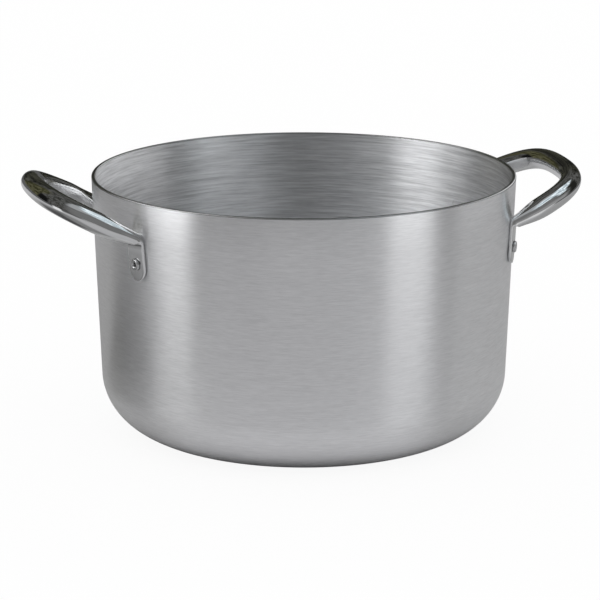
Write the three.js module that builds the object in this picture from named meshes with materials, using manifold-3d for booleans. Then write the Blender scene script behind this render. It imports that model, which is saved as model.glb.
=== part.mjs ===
// A deep aluminium stock pot with two bent steel tube handles, each held by two rivets.
// Millimetres, +Z up. The origin is the centre of the base, on the surface the pot stands on.
// The handles lie along X, the left one on the -X side.

import * as THREE from 'three';
import { mergeVertices } from 'three/addons/utils/BufferGeometryUtils.js';
import Module from 'manifold-3d';

const wasm = await Module();
wasm.setup();

// Pot shell, one pressed sheet
const rimOuterRadius = 163;
const potHeight = 198.7;
const wallThickness = 3;
const baseThickness = 3;
const cornerOuterRadius = 44;
const rimEdgeRadius = 1;
const wallLean = THREE.MathUtils.degToRad(1.92);

// Handle tube and its flattened ends. The tube is flat below the bend. In the bend it opens to the
// shoulder's thickness where the wall leaves room, and over the rounded length it grows round, a
// little broader on the way. The fold is where it turns from level along the wall to square.
const tubeDiameter = 16.7;
const tubeWall = 1;
const slitHeight = 0.4;
const tongueWidth = 18.4;
const tongueBelowBend = 26.5;
const tongueEndLength = 10;
const rivetBelowBend = 14;
const bendRadius = 6.5;
const shoulderThickness = 7;
const roundedLength = 34;
const levellingShare = 0.3;
const flare = 2.2;
const foldStart = 8;
const foldEnd = 30;
const tongueSplay = THREE.MathUtils.degToRad(4);

// Bow of the handle, in the plane that rises away from the pot
const tongueSpacing = 141.3;
const legLength = 57.5;
const gripHalfLength = 46.5;
const legToeIn = THREE.MathUtils.degToRad(6);

// Each handle as bent and drilled by hand: its turn from the X axis, how far its two bends sit
// below the rim, how steeply its bow rises and how far it reaches. The two differ a little.
const leftTurn = THREE.MathUtils.degToRad(181.6);
const leftFrontBelowRim = 28.7;
const leftBackBelowRim = 32.9;
const leftRise = THREE.MathUtils.degToRad(26.9);
const leftReach = 68.3;
const rightTurn = THREE.MathUtils.degToRad(-1.9);
const rightFrontBelowRim = 31.6;
const rightBackBelowRim = 30.6;
const rightRise = THREE.MathUtils.degToRad(24.5);
const rightReach = 64.5;

// Rivets
const shankRadius = 3;
const countersunkRadius = 5;
const countersunkDepth = 2;
const headRecess = 0.1;
const tailRadius = 4.5;
const tailHeight = 1.7;
const tailHoleRadius = 1.5;
const tailHoleDepth = 4;
const tailRounding = 1.3;

// Gaps between neighbours, and how far a cutter runs past what it cuts
const seatGap = 0.3;
const holeClearance = 0.3;
const cutOverrun = 2;

// Facets
const potSegments = 72;
const cornerSteps = 8;
const rimSteps = 3;
const rivetSegments = 20;
const tailSteps = 2;
const edgeFacets = 4;
const faceFacets = 6;
const boreEdgeFacets = 2;
const boreFaceFacets = 4;
const tongueSteps = 3;
const tongueEndSteps = 4;
const bendSteps = 6;
const bowSteps = 14;
const crowdingNearBend = 1.3;

const flatThickness = 2 * tubeWall + slitHeight;
const up = new THREE.Vector3(0, 0, 1);

const potFinish = { color: 0xa9a9ab, roughness: 0.42, metalness: 1 };
const handleFinish = { color: 0xb9babd, roughness: 0.12, metalness: 1 };
const rivetFinish = { color: 0xa2a2a4, roughness: 0.35, metalness: 1 };

function toSolid(geometry) {
  const plain = geometry.clone();
  plain.deleteAttribute('normal');
  plain.deleteAttribute('uv');
  const welded = mergeVertices(plain);
  const corners = [];
  const index = welded.index.array;
  for (let i = 0; i < index.length; i += 3) {
    const [a, b, c] = [index[i], index[i + 1], index[i + 2]];
    if (a !== b && b !== c && c !== a) corners.push(a, b, c);
  }
  return new wasm.Manifold(new wasm.Mesh({
    numProp: 3,
    vertProperties: new Float32Array(welded.attributes.position.array),
    triVerts: new Uint32Array(corners),
  }));
}

function toGeometry(solid) {
  const { numProp, vertProperties, triVerts } = solid.getMesh();
  const geometry = new THREE.BufferGeometry();
  geometry.setAttribute('position', new THREE.BufferAttribute(vertProperties, numProp));
  geometry.setIndex(new THREE.BufferAttribute(triVerts, 1));
  geometry.computeVertexNormals();
  return geometry;
}

function namedMesh(name, geometry, finish) {
  const mesh = new THREE.Mesh(geometry, new THREE.MeshStandardMaterial(finish));
  mesh.name = name;
  return mesh;
}

// An outline of straight lines whose corners are rounded where they have a radius
function roundedOutline(corners) {
  const points = [];
  corners.forEach(({ at, radius, steps }, i) => {
    if (!radius) {
      points.push(at);
      return;
    }
    const before = corners[i - 1].at.clone().sub(at).normalize();
    const after = corners[i + 1].at.clone().sub(at).normalize();
    const half = Math.acos(before.dot(after)) / 2;
    const toCentre = before.clone().add(after).normalize();
    const centre = at.clone().addScaledVector(toCentre, radius / Math.sin(half));
    const start = at.clone().addScaledVector(before, radius / Math.tan(half)).sub(centre);
    const turn = Math.sign(before.cross(after)) * -(Math.PI - 2 * half);
    for (let k = 0; k <= steps; k += 1) {
      const spoke = start.clone().rotateAround(new THREE.Vector2(), (turn * k) / steps);
      points.push(centre.clone().add(spoke));
    }
  });
  return points;
}

// A solid of revolution about Z from points given as radius and height
function turned(points, segments) {
  return new THREE.LatheGeometry(points, segments).rotateX(Math.PI / 2);
}

function wallRadiusAt(height) {
  return rimOuterRadius - (potHeight - height) * Math.tan(wallLean);
}

function potShell() {
  const wallAcross = wallThickness / Math.cos(wallLean);
  const innerRadius = (height) => wallRadiusAt(height) - wallAcross;
  const point = (radius, height) => new THREE.Vector2(radius, height);
  const cornerInnerRadius = cornerOuterRadius - wallThickness;
  const outline = roundedOutline([
    { at: point(0, 0) },
    { at: point(wallRadiusAt(0), 0), radius: cornerOuterRadius, steps: cornerSteps },
    { at: point(rimOuterRadius, potHeight), radius: rimEdgeRadius, steps: rimSteps },
    { at: point(innerRadius(potHeight), potHeight), radius: rimEdgeRadius, steps: rimSteps },
    { at: point(innerRadius(baseThickness), baseThickness), radius: cornerInnerRadius, steps: cornerSteps },
    { at: point(0, baseThickness) },
  ]);
  return toSolid(turned(outline, potSegments));
}

// The wall's own directions at an angle round the pot: out of the wall, up it, and along it
function wallFrame(angle) {
  const radial = new THREE.Vector3(Math.cos(angle), Math.sin(angle), 0);
  const out = radial.clone().multiplyScalar(Math.cos(wallLean)).addScaledVector(up, -Math.sin(wallLean));
  const rise = radial.clone().multiplyScalar(Math.sin(wallLean)).addScaledVector(up, Math.cos(wallLean));
  const along = new THREE.Vector3(-Math.sin(angle), Math.cos(angle), 0);
  return { radial, out, rise, along };
}

// A point of a flattened circle's outline, at a share of the way round it
function flattenedPoint(width, thickness, share) {
  const straight = width - thickness;
  const radius = thickness / 2;
  const quarter = (Math.PI * radius) / 2;
  let rest = share * (2 * straight + 4 * quarter);
  const bend = (centre, from, length) => {
    const angle = from + length / radius;
    return [centre + radius * Math.cos(angle), radius * Math.sin(angle)];
  };
  if (rest <= quarter) return bend(straight / 2, 0, rest);
  rest -= quarter;
  if (rest <= straight) return [straight / 2 - rest, radius];
  rest -= straight;
  if (rest <= 2 * quarter) return bend(-straight / 2, Math.PI / 2, rest);
  rest -= 2 * quarter;
  if (rest <= straight) return [rest - straight / 2, -radius];
  rest -= straight;
  return bend(straight / 2, -Math.PI / 2, rest);
}

// Shares of the way round: as many facets on each narrow edge and each broad face as asked
function outlineShares(width, thickness, roundness, onEdge, onFace) {
  const straight = width - thickness;
  const halfCircle = (Math.PI * thickness) / 2;
  const edgeShare = halfCircle / (2 * straight + 2 * halfCircle);
  const total = 2 * (onEdge + onFace);
  const shares = [];
  for (const startShare of [0, 1 / 2]) {
    for (let k = 0; k < onEdge + onFace; k += 1) {
      const onEdgeShare = (edgeShare * k) / onEdge;
      const onFaceShare = edgeShare + ((1 / 2 - edgeShare) * (k - onEdge)) / onFace;
      const flatShare = startShare - edgeShare / 2 + (k < onEdge ? onEdgeShare : onFaceShare);
      const roundShare = startShare + (k - onEdge / 2) / total;
      shares.push((THREE.MathUtils.lerp(flatShare, roundShare, roundness) + 1) % 1);
    }
  }
  return shares;
}

// Where one end of a handle bends off the wall, and the directions of the wall there.
// The side is 1 for the end on the +Y side of a handle that points along +X, and -1 for the other.
function handleEnd(side, belowRim) {
  const height = potHeight - belowRim;
  const radius = wallRadiusAt(height) + seatGap + flatThickness / 2;
  const { radial, out, rise, along } = wallFrame(side * Math.asin(tongueSpacing / 2 / radius));
  const corner = radial.clone().multiplyScalar(radius).addScaledVector(up, height);
  const climb = rise.clone().multiplyScalar(Math.cos(tongueSplay));
  climb.addScaledVector(along, -side * Math.sin(tongueSplay));
  return { side, corner, out, climb };
}

// Half of a handle's middle line, from the lower end of its tongue to the middle of its grip
function halfLine({ side, corner, out, climb }, bow) {
  const leg = bow.reach.clone().multiplyScalar(Math.cos(legToeIn));
  leg.addScaledVector(bow.sideways, -side * Math.sin(legToeIn));
  const turn = climb.angleTo(leg);
  const cornerCut = bendRadius * Math.tan(turn / 2);
  const bendStart = corner.clone().addScaledVector(climb, -cornerCut);
  const towardLeg = leg.clone().addScaledVector(climb, -leg.dot(climb)).normalize();
  const belowBend = (distance) => bendStart.clone().addScaledVector(climb, -distance);

  const stations = [];
  for (let k = 0; k < tongueEndSteps; k += 1) {
    const fromEnd = tongueEndLength * (1 - Math.cos((Math.PI / 2) * (k / tongueEndSteps)));
    stations.push({ point: belowBend(tongueBelowBend - fromEnd), direction: climb });
  }
  for (let k = 0; k < tongueSteps; k += 1) {
    const distance = (tongueBelowBend - tongueEndLength) * (1 - k / tongueSteps);
    stations.push({ point: belowBend(distance), direction: climb });
  }
  for (let k = 0; k < bendSteps; k += 1) {
    const angle = (turn * k) / bendSteps;
    const point = belowBend(-bendRadius * Math.sin(angle));
    point.addScaledVector(towardLeg, bendRadius * (1 - Math.cos(angle)));
    const direction = climb.clone().multiplyScalar(Math.cos(angle));
    direction.addScaledVector(towardLeg, Math.sin(angle));
    stations.push({ point, direction });
  }
  const curve = new THREE.CubicBezierCurve3(
    corner.clone().addScaledVector(leg, cornerCut),
    corner.clone().addScaledVector(leg, legLength),
    bow.middle.clone().addScaledVector(bow.sideways, side * gripHalfLength),
    bow.middle,
  );
  for (let k = 0; k <= bowSteps; k += 1) {
    const share = (k / bowSteps) ** crowdingNearBend;
    stations.push({ point: curve.getPoint(share), direction: curve.getTangent(share) });
  }
  let pastBend = -tongueBelowBend;
  stations.forEach((station, i) => {
    if (i > 0) pastBend += station.point.distanceTo(stations[i - 1].point);
    station.pastBend = pastBend;
  });
  const level = new THREE.Vector3().crossVectors(climb, out).multiplyScalar(side);
  return { side, out, level, under: bow.under, stations, rivetPoint: belowBend(rivetBelowBend) };
}

// Both halves of a handle, which meet at the middle of its grip in the plane of the bow
function handleHalves(ends, bowRise, bowReach) {
  const [first, second] = ends.map((end) => end.corner);
  const sideways = first.clone().sub(second).normalize();
  const level = new THREE.Vector3().crossVectors(sideways, up).normalize();
  const reach = level.clone().multiplyScalar(Math.cos(bowRise)).addScaledVector(up, Math.sin(bowRise));
  const under = new THREE.Vector3().crossVectors(sideways, reach);
  const middle = first.clone().add(second).divideScalar(2).addScaledVector(reach, bowReach);
  return ends.map((end) => halfLine(end, { sideways, reach, under, middle }));
}

// A share that grows evenly and levels off over its last part
function levelledOff(share) {
  const rest = THREE.MathUtils.clamp(1 - share, 0, 1);
  const halfLevelling = levellingShare / 2;
  const short = rest > levellingShare ? rest - halfLevelling : rest ** 2 / (4 * halfLevelling);
  return 1 - short / (1 - halfLevelling);
}

// The sections of half a handle from its tongue to its middle, each a ring of points round the
// tube. An inset gives the bore inside the tube wall, which runs past the tongue by the overrun.
function halfRings(half, { inset, endOverrun, edgeCount, faceCount }) {
  return half.stations.map(({ point, direction, pastBend }, i) => {
    const twist = THREE.MathUtils.smoothstep(pastBend, foldStart, foldEnd);
    const square = new THREE.Vector3().crossVectors(direction, half.under).multiplyScalar(half.side);
    const across = half.level.clone().lerp(square.normalize(), twist).normalize();
    const face = new THREE.Vector3().crossVectors(across, direction).multiplyScalar(half.side);
    face.normalize();

    const growth = levelledOff(pastBend / roundedLength);
    const opening = THREE.MathUtils.lerp(shoulderThickness, tubeDiameter, growth);
    const offWall = point.clone().sub(half.stations[0].point).dot(half.out);
    const room = (flatThickness + 2 * offWall) / face.dot(half.out);
    const roundness = (Math.min(opening, room) - flatThickness) / (tubeDiameter - flatThickness);
    const endShare = inset ? 0 : Math.max(0, 1 - (pastBend + tongueBelowBend) / tongueEndLength);
    const endNarrowing = Math.sqrt(1 - endShare ** 2);
    const thickness = THREE.MathUtils.lerp(flatThickness, tubeDiameter, roundness) - 2 * inset;
    const flaredBy = flare * 4 * roundness * (1 - roundness);
    const broadest = THREE.MathUtils.lerp(tongueWidth, tubeDiameter, roundness) + flaredBy - 2 * inset;
    const width = Math.max(broadest * endNarrowing, thickness);
    const centre = point.clone();
    if (i === 0) centre.addScaledVector(direction, -endOverrun);

    const hug = (1 - twist) / (2 * wallRadiusAt(point.z));
    return outlineShares(width, thickness, roundness, edgeCount, faceCount).map((share) => {
      const [acrossBy, faceBy] = flattenedPoint(width, thickness, share);
      const corner = centre.clone().addScaledVector(across, acrossBy);
      return corner.addScaledVector(face, faceBy - hug * acrossBy ** 2);
    });
  });
}

function handleSolid(halves, section) {
  const [toMiddle, toOtherEnd] = halves.map((half) => halfRings(half, section));
  return toSolid(lofted([...toMiddle, ...toOtherEnd.slice(0, -1).reverse()]));
}

// A closed body through rings with the same number of points, capped flat at both ends
function lofted(rings) {
  const count = rings[0].length;
  const last = (rings.length - 1) * count;
  const middle = (ring) => ring.reduce((sum, p) => sum.add(p), new THREE.Vector3()).divideScalar(count);
  const points = [...rings.flat(), middle(rings[0]), middle(rings.at(-1))];
  const startCentre = last + count;
  const endCentre = startCentre + 1;
  const index = [];
  for (let j = 0; j < count; j += 1) {
    const next = (j + 1) % count;
    for (let base = 0; base < last; base += count) {
      const above = base + count;
      index.push(base + j, above + next, base + next, base + j, above + j, above + next);
    }
    index.push(startCentre, j, next, endCentre, last + next, last + j);
  }
  const geometry = new THREE.BufferGeometry().setFromPoints(points);
  geometry.setIndex(index);
  return geometry;
}

function rivetSolid() {
  const headFace = headRecess - wallThickness;
  const tailBase = seatGap + flatThickness + seatGap;
  const tailTop = tailBase + tailHeight;
  const point = (radius, height) => new THREE.Vector2(radius, height);
  return turned(roundedOutline([
    { at: point(0, headFace) },
    { at: point(countersunkRadius, headFace) },
    { at: point(shankRadius, headFace + countersunkDepth) },
    { at: point(shankRadius, tailBase) },
    { at: point(tailRadius, tailBase) },
    { at: point(tailRadius, tailTop), radius: tailRounding, steps: tailSteps },
    { at: point(tailHoleRadius, tailTop), radius: tailRounding, steps: tailSteps },
    { at: point(tailHoleRadius, tailTop - tailHoleDepth) },
    { at: point(0, tailTop - tailHoleDepth) },
  ]), rivetSegments);
}

// What the rivet's hole takes out of the wall, countersunk from the inside, and of the tongue
function rivetHole() {
  const headFace = headRecess - wallThickness;
  const mouthRadius = countersunkRadius + holeClearance;
  const holeRadius = shankRadius + holeClearance;
  const inside = -wallThickness - cutOverrun;
  const outside = seatGap + flatThickness + cutOverrun;
  const point = (radius, height) => new THREE.Vector2(radius, height);
  return turned([
    point(0, inside),
    point(mouthRadius, inside),
    point(mouthRadius, headFace),
    point(holeRadius, headFace + countersunkDepth),
    point(holeRadius, outside),
    point(0, outside),
  ], rivetSegments);
}

// A handle with its two rivets, made pointing along +X and turned to its own side of the pot
function handleSet(name, { turn, frontBelowRim, backBelowRim, rise, reach }) {
  const set = new THREE.Group();
  set.rotation.z = turn;
  // The front end is the one that faces -Y once the handle is turned
  const frontSide = Math.cos(turn) > 0 ? -1 : 1;
  const ends = [1, -1].map((side) => (
    handleEnd(side, side === frontSide ? frontBelowRim : backBelowRim)
  ));
  const halves = handleHalves(ends, rise, reach);
  let handle = handleSolid(halves, {
    inset: 0, endOverrun: 0, edgeCount: edgeFacets, faceCount: faceFacets,
  });
  handle = handle.subtract(handleSolid(halves, {
    inset: tubeWall, endOverrun: cutOverrun, edgeCount: boreEdgeFacets, faceCount: boreFaceFacets,
  }));
  for (const { side, rivetPoint } of halves) {
    const { radial, out } = wallFrame(Math.atan2(rivetPoint.y, rivetPoint.x));
    const place = side === frontSide ? 'front' : 'back';
    const rivet = namedMesh(`rivet_${name}_${place}`, rivetSolid(), rivetFinish);
    rivet.position.copy(radial).multiplyScalar(wallRadiusAt(rivetPoint.z));
    rivet.position.z = rivetPoint.z;
    rivet.quaternion.setFromUnitVectors(up, out);
    rivet.updateMatrix();
    handle = handle.subtract(toSolid(rivetHole().applyMatrix4(rivet.matrix)));
    set.add(rivet);
  }
  set.add(namedMesh(`handle_${name}`, toGeometry(handle), handleFinish));
  set.updateMatrixWorld(true);
  return set;
}

const stockPot = new THREE.Group();
let shell = potShell();
for (const set of [
  handleSet('left', {
    turn: leftTurn,
    frontBelowRim: leftFrontBelowRim,
    backBelowRim: leftBackBelowRim,
    rise: leftRise,
    reach: leftReach,
  }),
  handleSet('right', {
    turn: rightTurn,
    frontBelowRim: rightFrontBelowRim,
    backBelowRim: rightBackBelowRim,
    rise: rightRise,
    reach: rightReach,
  }),
]) {
  for (const mesh of set.children) {
    if (mesh.name.startsWith('rivet')) {
      shell = shell.subtract(toSolid(rivetHole().applyMatrix4(mesh.matrixWorld)));
    }
  }
  stockPot.add(set);
}
stockPot.add(namedMesh('pot_body', toGeometry(shell), potFinish));

export default stockPot;
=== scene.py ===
"""A deep aluminium stock pot with two riveted tube handles, dressed for its portrait."""

import math

import bpy
from mathutils import Matrix, Vector


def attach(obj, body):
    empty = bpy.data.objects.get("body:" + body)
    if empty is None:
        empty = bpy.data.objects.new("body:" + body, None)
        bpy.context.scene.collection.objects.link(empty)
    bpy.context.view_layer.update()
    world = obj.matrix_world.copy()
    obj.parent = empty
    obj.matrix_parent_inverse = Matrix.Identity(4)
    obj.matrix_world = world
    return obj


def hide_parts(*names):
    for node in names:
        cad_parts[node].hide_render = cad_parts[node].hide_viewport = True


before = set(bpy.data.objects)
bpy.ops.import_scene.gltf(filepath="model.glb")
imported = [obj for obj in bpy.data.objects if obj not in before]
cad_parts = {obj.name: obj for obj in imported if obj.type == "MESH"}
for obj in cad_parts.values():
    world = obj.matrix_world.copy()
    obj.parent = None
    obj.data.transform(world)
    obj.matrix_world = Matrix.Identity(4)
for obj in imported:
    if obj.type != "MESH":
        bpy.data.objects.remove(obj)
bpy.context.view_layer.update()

# Pot shell, in metres
RIM_RADIUS = 0.16299
POT_HEIGHT = 0.1987
SHEET = 0.003
CORNER_RADIUS = 0.044
RIM_EDGE = 0.001
WALL_LEAN = math.radians(1.92)

# Handle tube and its flattened ends
TUBE = 0.0164
FLAT = 0.0024
TONGUE_WIDTH = 0.0184
TONGUE_BELOW_BEND = 0.0265
TONGUE_END = 0.010
RIVET_BELOW_BEND = 0.014
BEND_RADIUS = 0.0065
SHOULDER = 0.007
ROUNDED_LENGTH = 0.034
LEVELLING_SHARE = 0.3
FLARE = 0.0022
FOLD_START = 0.008
FOLD_END = 0.030
TONGUE_SPLAY = math.radians(4)
TONGUE_SPACING = 0.1413
LEG_LENGTH = 0.0575
GRIP_HALF_LENGTH = 0.0465
LEG_TOE_IN = math.radians(6)

# Each handle: its turn, the drops of its front and back bend below the rim, its rise and reach
HANDLES = {
    "left": (math.radians(181.6), 0.0287, 0.0329, math.radians(26.9), 0.0682),
    "right": (math.radians(-1.9), 0.0316, 0.0306, math.radians(24.5), 0.0645),
}

# Rivets
SHANK_RADIUS = 0.003
HEAD_RADIUS = 0.005
HEAD_DEPTH = 0.002
HEAD_RECESS = 0.0001
TAIL_RADIUS = 0.0045
TAIL_HEIGHT = 0.0017
TAIL_HOLE = 0.0015
TAIL_HOLE_DEPTH = 0.004
TAIL_ROUNDING = 0.0013
SEAT_GAP = 0.0003
HOLE_CLEARANCE = 0.0003
CUT_OVERRUN = 0.002

# How finely the shapes are cut
POT_VERTICES = 192
CORNER_SEGMENTS = 32
RIM_SEGMENTS = 5
WALL_LOOPS = (0.08, 0.115, 0.138, 0.148, 0.158, 0.17)
RIVET_VERTICES = 48
TAIL_STEPS = 6
EDGE_FACETS = 10
FACE_FACETS = 18
TONGUE_END_STEPS = 12
TONGUE_STEPS = 6
BEND_STEPS = 12
BOW_STEPS = 48
CROWDING_NEAR_BEND = 1.3
SMOOTHING_ANGLE = math.radians(30)

# How far a face's normal points along a direction, from 0 for square to 1 for straight
BARELY = 0.02
HALFWAY = 0.5
STRAIGHT = 0.9

UP = Vector((0, 0, 1))


def wall_radius_at(height):
    return RIM_RADIUS - (POT_HEIGHT - height) * math.tan(WALL_LEAN)


def smooth_share(value, low, high):
    share = min(max((value - low) / (high - low), 0), 1)
    return share * share * (3 - 2 * share)


def mixed(a, b, share):
    return a + (b - a) * share


# Modelling helpers

def clear_selection():
    for item in bpy.context.selected_objects:
        item.select_set(False)


def pick(piece):
    clear_selection()
    piece.select_set(True)
    bpy.context.view_layer.objects.active = piece


def settle(piece):
    """Moves a piece's place into its mesh."""
    pick(piece)
    bpy.ops.object.transform_apply(location=True, rotation=True, scale=True)


def choose(piece, kind, test):
    """In object mode, selects only the vertices, edges or faces that pass a test."""
    mesh = piece.data
    for group in (mesh.vertices, mesh.edges, mesh.polygons):
        for item in group:
            item.select = False
    for item in getattr(mesh, kind):
        if test(item):
            item.select = True


def edit(piece, mode):
    pick(piece)
    bpy.ops.object.mode_set(mode="EDIT")
    bpy.ops.mesh.select_mode(type=mode)


def leave_edit():
    bpy.ops.object.mode_set(mode="OBJECT")


def edge_ends(piece, edge):
    return [piece.data.vertices[i].co for i in edge.vertices]


def add_modifier(piece, name, kind, **settings):
    modifier = piece.modifiers.new(name, kind)
    for key, value in settings.items():
        setattr(modifier, key, value)
    return modifier


def apply_modifier(piece, modifier):
    pick(piece)
    bpy.ops.object.modifier_apply(modifier=modifier.name)


# Shape of the handles

def wall_frame(angle):
    radial = Vector((math.cos(angle), math.sin(angle), 0))
    out = radial * math.cos(WALL_LEAN) - UP * math.sin(WALL_LEAN)
    rise = radial * math.sin(WALL_LEAN) + UP * math.cos(WALL_LEAN)
    along = Vector((-math.sin(angle), math.cos(angle), 0))
    return radial, out, rise, along


def handle_end(side, below_rim):
    """Where one end of a handle bends off the wall, and the directions of the wall there."""
    height = POT_HEIGHT - below_rim
    radius = wall_radius_at(height) + SEAT_GAP + FLAT / 2
    radial, out, rise, along = wall_frame(side * math.asin(TONGUE_SPACING / 2 / radius))
    corner = radial * radius + UP * height
    climb = rise * math.cos(TONGUE_SPLAY) - along * side * math.sin(TONGUE_SPLAY)
    level = climb.cross(out) * side
    return {"side": side, "corner": corner, "out": out, "climb": climb, "level": level}


def bezier_point(points, share):
    a, b, c, d = points
    rest = 1 - share
    place = a * rest ** 3 + b * 3 * rest ** 2 * share + c * 3 * rest * share ** 2 + d * share ** 3
    heading = (b - a) * rest ** 2 + (c - b) * 2 * rest * share + (d - c) * share ** 2
    return place, heading.normalized()


def half_line(end, bow):
    """Stations from the lower end of a tongue to the middle of the grip."""
    side = end["side"]
    corner = end["corner"]
    climb = end["climb"]
    leg = bow["reach"] * math.cos(LEG_TOE_IN) - bow["sideways"] * side * math.sin(LEG_TOE_IN)
    turn = climb.angle(leg)
    corner_cut = BEND_RADIUS * math.tan(turn / 2)
    bend_start = corner - climb * corner_cut
    toward_leg = (leg - climb * leg.dot(climb)).normalized()

    stations = []
    for k in range(TONGUE_END_STEPS):
        from_end = TONGUE_END * (1 - math.cos(math.pi / 2 * k / TONGUE_END_STEPS))
        stations.append((bend_start - climb * (TONGUE_BELOW_BEND - from_end), climb))
    for k in range(TONGUE_STEPS):
        distance = (TONGUE_BELOW_BEND - TONGUE_END) * (1 - k / TONGUE_STEPS)
        stations.append((bend_start - climb * distance, climb))
    for k in range(BEND_STEPS):
        angle = turn * k / BEND_STEPS
        place = bend_start + climb * BEND_RADIUS * math.sin(angle)
        place = place + toward_leg * BEND_RADIUS * (1 - math.cos(angle))
        stations.append((place, climb * math.cos(angle) + toward_leg * math.sin(angle)))
    curve = (
        corner + leg * corner_cut,
        corner + leg * LEG_LENGTH,
        bow["middle"] + bow["sideways"] * side * GRIP_HALF_LENGTH,
        bow["middle"],
    )
    for k in range(BOW_STEPS + 1):
        stations.append(bezier_point(curve, (k / BOW_STEPS) ** CROWDING_NEAR_BEND))
    rivet_point = bend_start - climb * RIVET_BELOW_BEND
    return stations, rivet_point


def handle_halves(front_side, front_drop, back_drop, rise, reach_length):
    ends = [handle_end(side, front_drop if side == front_side else back_drop) for side in (1, -1)]
    sideways = (ends[0]["corner"] - ends[1]["corner"]).normalized()
    level = sideways.cross(UP).normalized()
    reach = level * math.cos(rise) + UP * math.sin(rise)
    bow = {
        "sideways": sideways,
        "reach": reach,
        "under": sideways.cross(reach),
        "middle": (ends[0]["corner"] + ends[1]["corner"]) / 2 + reach * reach_length,
    }
    halves = []
    for end in ends:
        stations, rivet_point = half_line(end, bow)
        halves.append({"end": end, "bow": bow, "stations": stations, "rivet_point": rivet_point})
    return halves


def flattened_point(width, thickness, share):
    """A point of a flattened circle's outline, at a share of the way round it."""
    straight = width - thickness
    radius = thickness / 2
    quarter = math.pi * radius / 2
    rest = share * (2 * straight + 4 * quarter)
    if rest <= quarter:
        angle = rest / radius
        return straight / 2 + radius * math.cos(angle), radius * math.sin(angle)
    rest -= quarter
    if rest <= straight:
        return straight / 2 - rest, radius
    rest -= straight
    if rest <= 2 * quarter:
        angle = math.pi / 2 + rest / radius
        return -straight / 2 + radius * math.cos(angle), radius * math.sin(angle)
    rest -= 2 * quarter
    if rest <= straight:
        return rest - straight / 2, -radius
    rest -= straight
    angle = rest / radius - math.pi / 2
    return straight / 2 + radius * math.cos(angle), radius * math.sin(angle)


def outline_shares(width, thickness, roundness):
    straight = width - thickness
    half_circle = math.pi * thickness / 2
    edge_share = half_circle / (2 * straight + 2 * half_circle)
    per_half = EDGE_FACETS + FACE_FACETS
    shares = []
    for start in (0, 1 / 2):
        for k in range(per_half):
            on_edge = edge_share * k / EDGE_FACETS
            on_face = edge_share + (1 / 2 - edge_share) * (k - EDGE_FACETS) / FACE_FACETS
            flat = start - edge_share / 2 + (on_edge if k < EDGE_FACETS else on_face)
            round_share = start + (k - EDGE_FACETS / 2) / (2 * per_half)
            shares.append(mixed(flat, round_share, roundness) % 1)
    return shares


def levelled_off(share):
    """A share that grows evenly and levels off over its last part."""
    rest = min(max(1 - share, 0), 1)
    half_levelling = LEVELLING_SHARE / 2
    short = rest - half_levelling if rest > LEVELLING_SHARE else rest ** 2 / (4 * half_levelling)
    return 1 - short / (1 - half_levelling)


def half_rings(half):
    """The sections of half a handle, each a ring of points round the tube."""
    side = half["end"]["side"]
    out = half["end"]["out"]
    stations = half["stations"]
    rings = []
    past_bend = -TONGUE_BELOW_BEND
    for i, (place, heading) in enumerate(stations):
        if i > 0:
            past_bend += (place - stations[i - 1][0]).length
        twist = smooth_share(past_bend, FOLD_START, FOLD_END)
        square = heading.cross(half["bow"]["under"]).normalized() * side
        across = half["end"]["level"].lerp(square, twist).normalized()
        face = across.cross(heading).normalized() * side
        opening = mixed(SHOULDER, TUBE, levelled_off(past_bend / ROUNDED_LENGTH))
        off_wall = (place - stations[0][0]).dot(out)
        room = (FLAT + 2 * off_wall) / face.dot(out)
        roundness = (min(opening, room) - FLAT) / (TUBE - FLAT)
        end_share = max(0, 1 - (past_bend + TONGUE_BELOW_BEND) / TONGUE_END)
        thickness = mixed(FLAT, TUBE, roundness)
        flared_by = FLARE * 4 * roundness * (1 - roundness)
        broadest = mixed(TONGUE_WIDTH, TUBE, roundness) + flared_by
        width = max(broadest * math.sqrt(1 - end_share ** 2), thickness)
        hug = (1 - twist) / (2 * wall_radius_at(place.z))
        ring = []
        for share in outline_shares(width, thickness, roundness):
            by_across, by_face = flattened_point(width, thickness, share)
            ring.append(place + across * by_across + face * (by_face - hug * by_across ** 2))
        rings.append(ring)
    return rings


def make_handle(name, halves, place):
    """Sweeps the flattened and round sections of a tube into one closed skin."""
    toward_middle = half_rings(halves[0])
    away = half_rings(halves[1])
    rings = toward_middle + away[-2::-1]
    count = len(rings[0])
    points = [place @ point for ring in rings for point in ring]
    faces = []
    for i in range(len(rings) - 1):
        for j in range(count):
            k = (j + 1) % count
            faces.append((i * count + j, (i + 1) * count + j, (i + 1) * count + k, i * count + k))
    faces.append(tuple(range(count)))
    last = (len(rings) - 1) * count
    faces.append(tuple(last + j for j in reversed(range(count))))
    mesh = bpy.data.meshes.new(name)
    mesh.from_pydata(points, [], faces)
    handle = bpy.data.objects.new(name, mesh)
    bpy.context.scene.collection.objects.link(handle)
    edit(handle, "FACE")
    bpy.ops.mesh.select_all(action="SELECT")
    bpy.ops.mesh.normals_make_consistent(inside=False)
    leave_edit()
    return handle


# The pot

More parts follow.
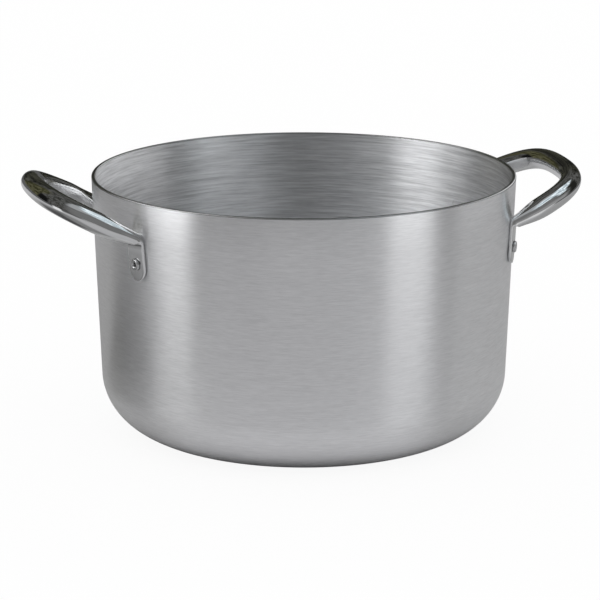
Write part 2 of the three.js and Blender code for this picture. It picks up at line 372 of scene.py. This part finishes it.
def make_pot():
    clear_selection()
    bpy.ops.mesh.primitive_cylinder_add(
        vertices=POT_VERTICES,
        radius=wall_radius_at(0),
        depth=POT_HEIGHT,
        location=(0, 0, POT_HEIGHT / 2),
    )
    pot = bpy.context.object
    pot.name = "pot_shell"
    settle(pot)

    choose(pot, "polygons", lambda face: face.normal.z > STRAIGHT)
    edit(pot, "FACE")
    bpy.ops.mesh.delete(type="FACE")
    leave_edit()

    choose(pot, "vertices", lambda vertex: vertex.co.z > POT_HEIGHT / 2)
    edit(pot, "VERT")
    flare = RIM_RADIUS / wall_radius_at(0)
    bpy.ops.transform.resize(value=(flare, flare, 1), center_override=(0, 0, POT_HEIGHT))
    leave_edit()

    def on_base(edge):
        return all(end.z < RIM_EDGE for end in edge_ends(pot, edge))

    choose(pot, "edges", on_base)
    edit(pot, "EDGE")
    tangent = CORNER_RADIUS * math.tan((math.pi / 2 - WALL_LEAN) / 2)
    bpy.ops.mesh.bevel(offset=tangent, segments=CORNER_SEGMENTS, profile=0.5, affect="EDGES")
    for height in WALL_LOOPS:
        bpy.ops.mesh.select_all(action="SELECT")
        bpy.ops.mesh.bisect(plane_co=(0, 0, height), plane_no=(0, 0, 1))
    leave_edit()

    thickness = add_modifier(
        pot, "sheet", "SOLIDIFY", thickness=SHEET, offset=-1, use_even_offset=True, use_rim=True
    )
    apply_modifier(pot, thickness)

    choose(pot, "vertices", lambda vertex: vertex.co.z > POT_HEIGHT - SHEET / 2)
    edit(pot, "VERT")
    bpy.ops.transform.resize(value=(1, 1, 0), center_override=(0, 0, POT_HEIGHT))
    leave_edit()

    near = RIM_EDGE / 10

    def goes_round_the_rim(edge):
        ends = edge_ends(pot, edge)
        level = all(abs(end.z - POT_HEIGHT) < near for end in ends)
        return level and abs(ends[0].xy.length - ends[1].xy.length) < near

    choose(pot, "edges", goes_round_the_rim)
    edit(pot, "EDGE")
    bpy.ops.mesh.bevel(offset=RIM_EDGE, segments=RIM_SEGMENTS, profile=0.5, affect="EDGES")
    leave_edit()
    return pot


# The rivets

def stack_of_rings(name, rings, place):
    """A turned solid from a filled circle: each further ring is extruded up and resized."""
    clear_selection()
    first_radius, first_height = rings[0]
    bpy.ops.mesh.primitive_circle_add(
        vertices=RIVET_VERTICES,
        radius=first_radius,
        fill_type="NGON",
        location=(0, 0, first_height),
    )
    solid = bpy.context.object
    solid.name = name
    settle(solid)
    bpy.ops.object.mode_set(mode="EDIT")
    bpy.ops.mesh.select_mode(type="FACE")
    bpy.ops.mesh.select_all(action="SELECT")
    radius, height = rings[0]
    for next_radius, next_height in rings[1:]:
        bpy.ops.mesh.extrude_region_move(
            TRANSFORM_OT_translate={"value": (0, 0, next_height - height)}
        )
        scale = next_radius / radius
        bpy.ops.transform.resize(value=(scale, scale, 1), center_override=(0, 0, next_height))
        radius, height = next_radius, next_height
    bpy.ops.mesh.select_all(action="SELECT")
    bpy.ops.mesh.normals_make_consistent(inside=False)
    leave_edit()
    solid.matrix_world = place
    settle(solid)
    return solid


def make_cutter(name, place):
    head_face = HEAD_RECESS - SHEET
    mouth = HEAD_RADIUS + HOLE_CLEARANCE
    hole = SHANK_RADIUS + HOLE_CLEARANCE
    rings = [
        (mouth, -SHEET - CUT_OVERRUN),
        (mouth, head_face),
        (hole, head_face + HEAD_DEPTH),
        (hole, SEAT_GAP + FLAT + CUT_OVERRUN),
    ]
    return stack_of_rings(name, rings, place)


def make_rivet(name, place):
    head_face = HEAD_RECESS - SHEET
    tail_base = SEAT_GAP + FLAT + SEAT_GAP
    tail_top = tail_base + TAIL_HEIGHT
    rings = [
        (HEAD_RADIUS, head_face),
        (SHANK_RADIUS, head_face + HEAD_DEPTH),
        (SHANK_RADIUS, tail_base),
        (TAIL_RADIUS, tail_base),
    ]
    for k in range(TAIL_STEPS + 1):
        angle = math.pi / 2 * k / TAIL_STEPS
        inward = TAIL_ROUNDING * (1 - math.cos(angle))
        below = TAIL_ROUNDING * (1 - math.sin(angle))
        rings.append((TAIL_RADIUS - inward, tail_top - below))
    for k in range(1, TAIL_STEPS + 1):
        angle = math.pi / 2 * k / TAIL_STEPS
        outward = TAIL_ROUNDING * (1 - math.sin(angle))
        below = TAIL_ROUNDING * (1 - math.cos(angle))
        rings.append((TAIL_HOLE + outward, tail_top - below))
    rings.append((TAIL_HOLE, tail_top - TAIL_HOLE_DEPTH))
    return stack_of_rings(name, rings, place)


def cut_away(piece, cutter):
    hole = add_modifier(piece, "rivet_hole", "BOOLEAN", operation="DIFFERENCE", solver="EXACT")
    hole.object = cutter
    apply_modifier(piece, hole)


pot = make_pot()
handles = {}
rivets = {}
for side_name, (turn, front_drop, back_drop, rise, reach) in HANDLES.items():
    facing = Matrix.Rotation(turn, 4, "Z")
    front_side = -1 if math.cos(turn) > 0 else 1
    halves = handle_halves(front_side, front_drop, back_drop, rise, reach)
    handle = make_handle("handle_tube_" + side_name, halves, facing)
    for half in halves:
        point = half["rivet_point"]
        radial, out, _, _ = wall_frame(math.atan2(point.y, point.x))
        seat = radial * wall_radius_at(point.z)
        seat.z = point.z
        place = facing @ Matrix.Translation(seat) @ UP.rotation_difference(out).to_matrix().to_4x4()
        end_name = "front" if half["end"]["side"] == front_side else "back"
        rivet_name = side_name + "_" + end_name
        cutter = make_cutter("cutter", place)
        cut_away(pot, cutter)
        cut_away(handle, cutter)
        bpy.data.objects.remove(cutter)
        rivets[rivet_name] = make_rivet("rivet_skin_" + rivet_name, place)
    handles[side_name] = handle

for piece in [pot, *handles.values(), *rivets.values()]:
    pick(piece)
    bpy.ops.object.shade_smooth_by_angle(angle=SMOOTHING_ANGLE)


# Materials

# The turn of the brushing from the tangent, in full turns, how much bluer than grey the aluminium
# is, the depth of fine marks in metres, and how far from their middle the marks vary
ROUND_THE_POT = 0.25
BLUENESS = 1.012
MARK_DEPTH = 0.0002
MARK_SPREAD = 0.2

OUTSIDE_LOOK = {
    "tones": (0.775, 0.925), "roughness": (0.345, 0.37), "anisotropy": 0.90,
    "lines": 1250, "breaks": 95, "broad_share": 0.4, "seed": 1, "bump": 0.10,
}
INSIDE_LOOK = {
    "tones": (0.60, 1.0), "roughness": (0.44, 0.50), "anisotropy": 0.93,
    "lines": 700, "breaks": 30, "broad_share": 0.5, "seed": 5, "bump": 0.25,
}
# The rim's tones are kept dark: painted shade for the dark room that its narrow top mirrors
RIM_PAINTED_SHADE_LOOK = {
    "tones": (0.32, 0.42), "roughness": (0.26, 0.32), "anisotropy": 0.2,
    "lines": 500, "breaks": 6, "broad_share": 0.5, "seed": 9, "bump": 0.05,
}
RIVET_LOOK = {
    "tones": (0.52, 0.60), "roughness": (0.28, 0.34), "anisotropy": 0,
    "lines": 500, "breaks": 500, "broad_share": 0.5, "seed": 3, "bump": 0.05,
}
STEEL_LOOK = {
    "tones": ((0.68, 0.685, 0.69), (0.76, 0.765, 0.77)), "roughness": (0.06, 0.11),
    "haze_scale": 60, "haze_range": (0.35, 0.65), "buffing_scale": 900, "buffing_bump": 0.01,
    "ripple_scale": 70, "ripple_bump": 0.25, "ripple_depth": 0.0008,
}


def new_material(name):
    material = bpy.data.materials.new(name)
    material.use_nodes = True
    tree = material.node_tree
    shader = tree.nodes["Principled BSDF"]
    return material, tree, shader


def add_node(tree, kind, **settings):
    node = tree.nodes.new(kind)
    for key, value in settings.items():
        setattr(node, key, value)
    return node


def link(tree, source, target):
    tree.links.new(source, target)


def add_math(tree, operation, first, second=0.0):
    """A math node of two inputs, each a socket or a number."""
    node = add_node(tree, "ShaderNodeMath", operation=operation)
    for socket, value in zip(node.inputs, (first, second)):
        if isinstance(value, (int, float)):
            socket.default_value = value
        else:
            link(tree, value, socket)
    return node.outputs["Value"]


def add_range(tree, value, low, high, to_low, to_high, kind="LINEAR"):
    node = add_node(tree, "ShaderNodeMapRange", interpolation_type=kind)
    link(tree, value, node.inputs["Value"])
    for name, number in (
        ("From Min", low), ("From Max", high), ("To Min", to_low), ("To Max", to_high)
    ):
        node.inputs[name].default_value = number
    return node.outputs["Result"]


def add_noise(tree, place, scale, detail, roughness=0.5, seed=None):
    noise = add_node(tree, "ShaderNodeTexNoise")
    noise.inputs["Scale"].default_value = scale
    noise.inputs["Detail"].default_value = detail
    noise.inputs["Roughness"].default_value = roughness
    link(tree, place, noise.inputs["Vector"])
    if seed is not None:
        noise.noise_dimensions = "4D"
        link(tree, seed, noise.inputs["W"])
    return noise.outputs["Fac"]


def add_mix(tree, share, first, second):
    """A mix of two colours, each a socket or a tuple."""
    node = add_node(tree, "ShaderNodeMix", data_type="RGBA")
    link(tree, share, node.inputs["Factor"])
    for name, value in (("A", first), ("B", second)):
        if isinstance(value, tuple):
            node.inputs[name].default_value = (*value, 1)
        else:
            link(tree, value, node.inputs[name])
    return node.outputs["Result"]


def add_bump(tree, height, strength, depth, normal=None):
    """The normal of a bump, laid over another bump's normal where one is given."""
    bump = add_node(tree, "ShaderNodeBump")
    bump.inputs["Strength"].default_value = strength
    bump.inputs["Distance"].default_value = depth
    link(tree, height, bump.inputs["Height"])
    if normal is not None:
        link(tree, normal, bump.inputs["Normal"])
    return bump.outputs["Normal"]


def build_turned_marks():
    """Lines that run round the pot, as brushing and turning leave them, in two sizes."""
    group = bpy.data.node_groups.new("turned_marks", "ShaderNodeTree")
    for name, value in (("Lines per Metre", 500.0), ("Breaks per Metre", 12.0), ("Seed", 0.0)):
        socket = group.interface.new_socket(name, in_out="INPUT", socket_type="NodeSocketFloat")
        socket.default_value = value
    for name in ("Fine", "Broad"):
        group.interface.new_socket(name, in_out="OUTPUT", socket_type="NodeSocketFloat")
    given = group.nodes.new("NodeGroupInput")
    result = group.nodes.new("NodeGroupOutput")
    place = add_node(group, "ShaderNodeTexCoord")
    split = add_node(group, "ShaderNodeSeparateXYZ")
    link(group, place.outputs["Object"], split.inputs["Vector"])
    x, y, z = (split.outputs[name] for name in "XYZ")
    x_squared, y_squared = (add_math(group, "MULTIPLY", axis, axis) for axis in (x, y))
    radius = add_math(group, "SQRT", add_math(group, "ADD", x_squared, y_squared))
    along_profile = add_math(group, "ADD", z, radius)
    for name, share in (("Fine", 1.0), ("Broad", 0.4)):
        breaks = add_math(group, "MULTIPLY", given.outputs["Breaks per Metre"], share)
        lines = add_math(group, "MULTIPLY", given.outputs["Lines per Metre"], share)
        stretched = add_node(group, "ShaderNodeCombineXYZ")
        for axis, value, rate in ("X", x, breaks), ("Y", y, breaks), ("Z", along_profile, lines):
            link(group, add_math(group, "MULTIPLY", value, rate), stretched.inputs[axis])
        marks = add_noise(group, stretched.outputs["Vector"], 1, 3, 0.7, given.outputs["Seed"])
        link(group, marks, result.inputs[name])
    return group


turned_marks = build_turned_marks()


def brushed_aluminium(name, look):
    """Aluminium with marks round the pot, which spread its shine up and down."""
    material, tree, shader = new_material(name)
    shader.inputs["Metallic"].default_value = 1
    shader.inputs["Anisotropic"].default_value = look["anisotropy"]
    shader.inputs["Anisotropic Rotation"].default_value = ROUND_THE_POT
    tangent = add_node(tree, "ShaderNodeTangent", direction_type="RADIAL", axis="Z")
    link(tree, tangent.outputs["Tangent"], shader.inputs["Tangent"])
    marks = add_node(tree, "ShaderNodeGroup")
    marks.node_tree = turned_marks
    marks.inputs["Lines per Metre"].default_value = look["lines"]
    marks.inputs["Breaks per Metre"].default_value = look["breaks"]
    marks.inputs["Seed"].default_value = look["seed"]
    broad = add_math(tree, "MULTIPLY", marks.outputs["Broad"], look["broad_share"])
    both = add_math(tree, "ADD", marks.outputs["Fine"], broad)
    middle = 0.5 * (1 + look["broad_share"])
    amount = add_range(tree, both, middle - MARK_SPREAD, middle + MARK_SPREAD, 0, 1)
    dark, light = ((grey, grey, grey * BLUENESS) for grey in look["tones"])
    link(tree, add_mix(tree, amount, dark, light), shader.inputs["Base Color"])
    roughness = add_range(
        tree, marks.outputs["Fine"], 0.5 - MARK_SPREAD, 0.5 + MARK_SPREAD, *look["roughness"]
    )
    link(tree, roughness, shader.inputs["Roughness"])
    link(tree, add_bump(tree, both, look["bump"], MARK_DEPTH), shader.inputs["Normal"])
    return material


def polished_steel(look):
    """Mirror polish with faint haze, thin buffing marks and a slight ripple from the bending."""
    material, tree, shader = new_material("polished_steel")
    shader.inputs["Metallic"].default_value = 1
    place = add_node(tree, "ShaderNodeTexCoord").outputs["Object"]
    haze = add_noise(tree, place, look["haze_scale"], 3)
    link(tree, add_mix(tree, haze, *look["tones"]), shader.inputs["Base Color"])
    roughness = add_range(tree, haze, *look["haze_range"], *look["roughness"])
    link(tree, roughness, shader.inputs["Roughness"])
    buffing = add_noise(tree, place, look["buffing_scale"], 2)
    ripple = add_noise(tree, place, look["ripple_scale"], 1)
    buffed = add_bump(tree, buffing, look["buffing_bump"], MARK_DEPTH)
    rippled = add_bump(tree, ripple, look["ripple_bump"], look["ripple_depth"], buffed)
    link(tree, rippled, shader.inputs["Normal"])
    return material


outside = brushed_aluminium("brushed_outside", OUTSIDE_LOOK)
inside = brushed_aluminium("turned_inside", INSIDE_LOOK)
rim_metal = brushed_aluminium("rim_edge", RIM_PAINTED_SHADE_LOOK)
rivet_metal = brushed_aluminium("rivet_aluminium", RIVET_LOOK)
steel = polished_steel(STEEL_LOOK)

POT_FINISHES = (outside, inside, rim_metal)
RIVET_FINISHES = (rivet_metal, inside)

# Within this distance of the axis, a face's direction on the plan says nothing
CENTRE_OF_BASE = 0.05


def pot_finish(face):
    centre = face.center
    if centre.z > POT_HEIGHT - RIM_EDGE:
        return rim_metal
    from_axis = centre.xy.length
    looks_in = from_axis > CENTRE_OF_BASE and face.normal.xy.dot(centre.xy) / from_axis < -BARELY
    looks_up = centre.z > SHEET / 2 and face.normal.z > HALFWAY
    return inside if looks_in or looks_up else outside


def rivet_finish(face):
    """The flush head inside the pot is turned with the wall, so it has the wall's finish."""
    from_axis = face.center.xy.length
    looks_in = face.normal.xy.dot(face.center.xy) / from_axis < -STRAIGHT
    on_inner_wall = from_axis < wall_radius_at(face.center.z) - SHEET + HEAD_RECESS * 2
    return inside if looks_in and on_inner_wall else rivet_metal


def dress(piece, finishes, finish_of):
    """Gives each face of a piece the finish that a function picks for it."""
    piece.data.materials.clear()
    for material in finishes:
        piece.data.materials.append(material)
    for face in piece.data.polygons:
        face.material_index = finishes.index(finish_of(face))


dress(pot, POT_FINISHES, pot_finish)
for piece in handles.values():
    dress(piece, (steel,), lambda face: steel)
for piece in rivets.values():
    dress(piece, RIVET_FINISHES, rivet_finish)

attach(pot, "root")
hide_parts("pot_body")
for side_name, piece in handles.items():
    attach(piece, "root")
    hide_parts("handle_" + side_name)
for rivet_name, piece in rivets.items():
    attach(piece, "root")
    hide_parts("rivet_" + rivet_name)


# Camera

CAMERA_TURN = math.radians(14.08)
CAMERA_RISE = math.radians(14.706)
CAMERA_DISTANCE = 1.8776
SENSOR_WIDTH = 36

# Width of the picture, focal length and how far the pot's middle is right of and above the
# picture's middle, in pixels
PICTURE_WIDTH = 600
PIXEL_FOCAL = 2407.9
PIXELS_RIGHT = 3.75
PIXELS_UP = 3.26

target = UP * POT_HEIGHT / 2
toward_pot = Vector((
    math.sin(CAMERA_TURN) * math.cos(CAMERA_RISE),
    math.cos(CAMERA_TURN) * math.cos(CAMERA_RISE),
    -math.sin(CAMERA_RISE),
))
camera_data = bpy.data.cameras.new("camera")
camera = bpy.data.objects.new("camera", camera_data)
bpy.context.scene.collection.objects.link(camera)
camera_data.sensor_width = SENSOR_WIDTH
camera_data.lens = PIXEL_FOCAL * SENSOR_WIDTH / PICTURE_WIDTH
right = toward_pot.cross(UP).normalized()
upward = right.cross(toward_pot)
aim = target - (right * PIXELS_RIGHT + upward * PIXELS_UP) * CAMERA_DISTANCE / PIXEL_FOCAL
camera.location = target - toward_pot * CAMERA_DISTANCE
camera.rotation_euler = (aim - camera.location).to_track_quat("-Z", "Y").to_euler()
bpy.context.scene.camera = camera


# Stage and light

def bearing(from_camera):
    """The direction on the plan at an angle from the camera's side of the pot, right being more."""
    angle = -math.pi / 2 - CAMERA_TURN + math.radians(from_camera)
    return Vector((math.cos(angle), math.sin(angle), 0))


def side_mask(tree, direction, from_camera, half_width, softness):
    """1 near one bearing, and 0 away from it."""
    level = add_node(tree, "ShaderNodeVectorMath", operation="MULTIPLY")
    level.inputs[1].default_value = (1, 1, 0)
    link(tree, direction, level.inputs[0])
    unit = add_node(tree, "ShaderNodeVectorMath", operation="NORMALIZE")
    link(tree, level.outputs["Vector"], unit.inputs[0])
    toward = add_node(tree, "ShaderNodeVectorMath", operation="DOT_PRODUCT")
    toward.inputs[1].default_value = bearing(from_camera)
    link(tree, unit.outputs["Vector"], toward.inputs[0])
    outer = math.cos(math.radians(half_width + softness))
    inner = math.cos(math.radians(half_width - softness))
    return add_range(tree, toward.outputs["Value"], outer, inner, 0, 1, "SMOOTHSTEP")


def lay_zones(tree, tone, zones, direction, measure):
    """Lays zones over a tone and over each other.

    A zone is its tone, then its side, or None for all round, as a bearing, half width and
    softness, and then its fades, each as two values of the measure and the zone's share at each.
    """
    for zone_tone, side, *fades in zones:
        masks = [side_mask(tree, direction, *side)] if side else []
        masks += [add_range(tree, measure, *fade, "SMOOTHSTEP") for fade in fades]
        share = masks[0]
        for mask in masks[1:]:
            share = add_math(tree, "MULTIPLY", share, mask)
        tone = add_mix(tree, share, tone, zone_tone)
    return tone


# The floor as the metal mirrors it, by the distance from the pot's axis, with light and shade
# painted
# into its tone: paper painted dimmer, two painted dark sides, a painted dim rim beyond 1.15 m, a
# painted pool of light on each side, and near the pot a painted pale front and painted shadow under
# the round corner
PAINTED_FLOOR_BASE_SHADE = (0.54, 0.54, 0.55)
PAINTED_FLOOR_LIGHT_ZONES = (
    ((0.40, 0.40, 0.40), (-104, 48, 12), (0.5, 0.85, 1, 0)),
    ((0.10, 0.10, 0.10), (-86, 24, 8), (0.36, 0.85, 1, 0)),
    ((0.28, 0.28, 0.28), (-58, 11, 6), (0.36, 0.7, 1, 0)),
    ((0.40, 0.40, 0.40), (115, 45, 15), (0.8, 1.2, 1, 0)),
    ((0.12, 0.12, 0.12), None, (1.15, 1.4, 0, 1)),
    ((0.50, 0.50, 0.50), (10, 30, 10), (1.15, 1.4, 0, 1)),
    ((1.0, 1.0, 1.0), (-69, 8, 4), (0.65, 0.95, 0, 1)),
    ((0.8, 0.8, 0.8), (54, 11, 5), (0.45, 0.8, 0, 1)),
    ((0.52, 0.52, 0.52), None, (0.23, 0.28, 1, 0)),
    ((0.76, 0.76, 0.77), (2, 36, 22), (0.22, 0.30, 1, 0)),
    ((0.16, 0.16, 0.16), None, (0.134, 0.151, 1, 0)),
)
FLOOR_SIZE = 16
FLOOR_WHITE = (0.95, 0.95, 0.95)
SEEN_GLOW_SHARE = 0.92


def make_floor():
    """A white floor: a glow washes out most of its shadow, and metal mirrors the light and shade
    painted in its zones.
    """
    clear_selection()
    bpy.ops.mesh.primitive_plane_add(size=FLOOR_SIZE, location=(0, 0, 0))
    floor = bpy.context.object
    floor.name = "floor"
    material, tree, shader = new_material("white_floor")
    material.cycles.emission_sampling = "NONE"
    shader.inputs["Roughness"].default_value = 1
    shader.inputs["Specular IOR Level"].default_value = 0
    place = add_node(tree, "ShaderNodeTexCoord").outputs["Object"]
    from_axis = add_node(tree, "ShaderNodeVectorMath", operation="LENGTH")
    link(tree, place, from_axis.inputs[0])
    # The zones paint light and shade into the tone that only glossy rays see; other rays see plain
    # white
    zones = lay_zones(tree, PAINTED_FLOOR_BASE_SHADE, PAINTED_FLOOR_LIGHT_ZONES, place, from_axis.outputs["Value"])
    path = add_node(tree, "ShaderNodeLightPath")
    tone = add_mix(tree, path.outputs["Is Glossy Ray"], FLOOR_WHITE, zones)
    link(tree, tone, shader.inputs["Base Color"])
    glow = add_node(tree, "ShaderNodeEmission")
    seen_glow = add_math(tree, "MULTIPLY", path.outputs["Is Camera Ray"], SEEN_GLOW_SHARE)
    mix = add_node(tree, "ShaderNodeMixShader")
    link(tree, seen_glow, mix.inputs["Fac"])
    link(tree, shader.outputs["BSDF"], mix.inputs[1])
    link(tree, glow.outputs["Emission"], mix.inputs[2])
    link(tree, mix.outputs["Shader"], tree.nodes["Material Output"].inputs["Surface"])
    floor.data.materials.append(material)
    return floor


floor = make_floor()

# Upright light panels: the bearing from the camera's side, the distance from the pot, the heights
# of the lower and upper edge, the width, the radiance, and whether the handles shade the panel
PANELS = {
    "left_front_panel": (-62, 3.5, 3.5, 8.0, 1.4, 2.3, False),
    "left_panel": (-75, 1.2, 0.36, 0.92, 0.66, 1.3, False),
    "left_panel_with_shadows": (-75, 1.2, 0.36, 0.92, 0.66, 2.15, True),
    "left_rear_panel": (-112, 1.2, 0.72, 2.6, 0.55, 3.0, False),
    "left_high_panel": (-100, 3.5, 5.0, 9.0, 2.4, 2.5, False),
    "right_low_panel": (55, 1.2, 0.15, 0.45, 0.55, 1.4, False),
    "right_high_panel": (92, 3.5, 4.0, 9.0, 1.4, 1.6, False),
    "right_back_panel": (128, 3.5, 0.62, 2.19, 5.87, 1.5, False),
}
PANEL_TINT = (0.98, 0.99, 1.0)


def add_panel(name, from_camera, distance, low, high, width, radiance):
    light = bpy.data.lights.new(name, "AREA")
    light.shape = "RECTANGLE"
    light.size = width
    light.size_y = high - low
    light.energy = radiance * math.pi * width * (high - low)
    light.color = PANEL_TINT
    panel = bpy.data.objects.new(name, light)
    bpy.context.scene.collection.objects.link(panel)
    panel.location = bearing(from_camera) * distance + UP * (low + high) / 2
    panel.rotation_euler = (-bearing(from_camera)).to_track_quat("-Z", "Y").to_euler()
    panel.visible_camera = False
    return panel


# The panels light only the pot and its rivets. The handles mirror the floor and the sky
lit_by_panels = bpy.data.collections.new("lit_by_panels")
for piece in [pot, *rivets.values()]:
    lit_by_panels.objects.link(piece)
for name, (*measures, handles_shade) in PANELS.items():
    panel = add_panel(name, *measures)
    panel.light_linking.receiver_collection = lit_by_panels
    if not handles_shade:
        panel.light_linking.blocker_collection = lit_by_panels

world = bpy.data.worlds.new("studio")
bpy.context.scene.world = world
world.use_nodes = True
world.cycles.sampling_method = "NONE"
sky = world.node_tree
sky_place = add_node(sky, "ShaderNodeTexCoord").outputs["Generated"]
sky_split = add_node(sky, "ShaderNodeSeparateXYZ")
link(sky, sky_place, sky_split.inputs["Vector"])

# The studio as the metal mirrors it, by the sine of the angle above the horizon: a dim cluttered
# room with dark and olive corners, and a pale window. All else is lit by plain white
CLUTTER_SCALE = 9
clutter = add_noise(sky, sky_place, CLUTTER_SCALE, 4, 0.65)
lit_parts = add_range(sky, clutter, 0.38, 0.64, 0, 1, "SMOOTHSTEP")
dim_room = add_mix(sky, lit_parts, (0.03, 0.03, 0.025), (0.15, 0.15, 0.145))
olive_corner = add_mix(sky, lit_parts, (0.03, 0.03, 0.012), (0.14, 0.135, 0.08))
black_corner = add_mix(sky, lit_parts, (0.008, 0.008, 0.008), (0.06, 0.06, 0.045))
window = add_mix(sky, lit_parts, (0.38, 0.47, 0.52), (1.32, 1.44, 1.50))
mirrored_studio = (
    ((0.43, 0.44, 0.45), (40, 80, 15), (0.72, 0.85, 0, 1)),
    ((0.20, 0.20, 0.20), (10, 50, 15), (0.67, 0.85, 1, 0)),
    ((0.35, 0.35, 0.35), (58, 26, 10), (0.17, 0.50, 1, 0)),
    (olive_corner, (-135, 18, 4), (0.70, 0.87, 1, 0)),
    ((0.008, 0.008, 0.008), (-105, 13, 4), (0.37, 0.56, 1, 0)),
    (black_corner, (178, 26, 5), (0.42, 0.64, 1, 0)),
    ((0.02, 0.02, 0.018), (107, 13, 5), (0.64, 0.77, 1, 0)),
    (window, (80, 52, 10), (0.74, 0.80, 0, 1), (0.965, 0.99, 1, 0)),
    (window, (73, 11, 5), (0.54, 0.62, 0, 1), (0.965, 0.99, 1, 0)),
)
studio = lay_zones(sky, dim_room, mirrored_studio, sky_place, sky_split.outputs["Z"])
sky_path = add_node(sky, "ShaderNodeLightPath")
sky_tone = add_mix(sky, sky_path.outputs["Is Glossy Ray"], (1.0, 1.0, 1.0), studio)
link(sky, sky_tone, sky.nodes["Background"].inputs["Color"])

bpy.context.scene.view_settings.view_transform = "Standard"
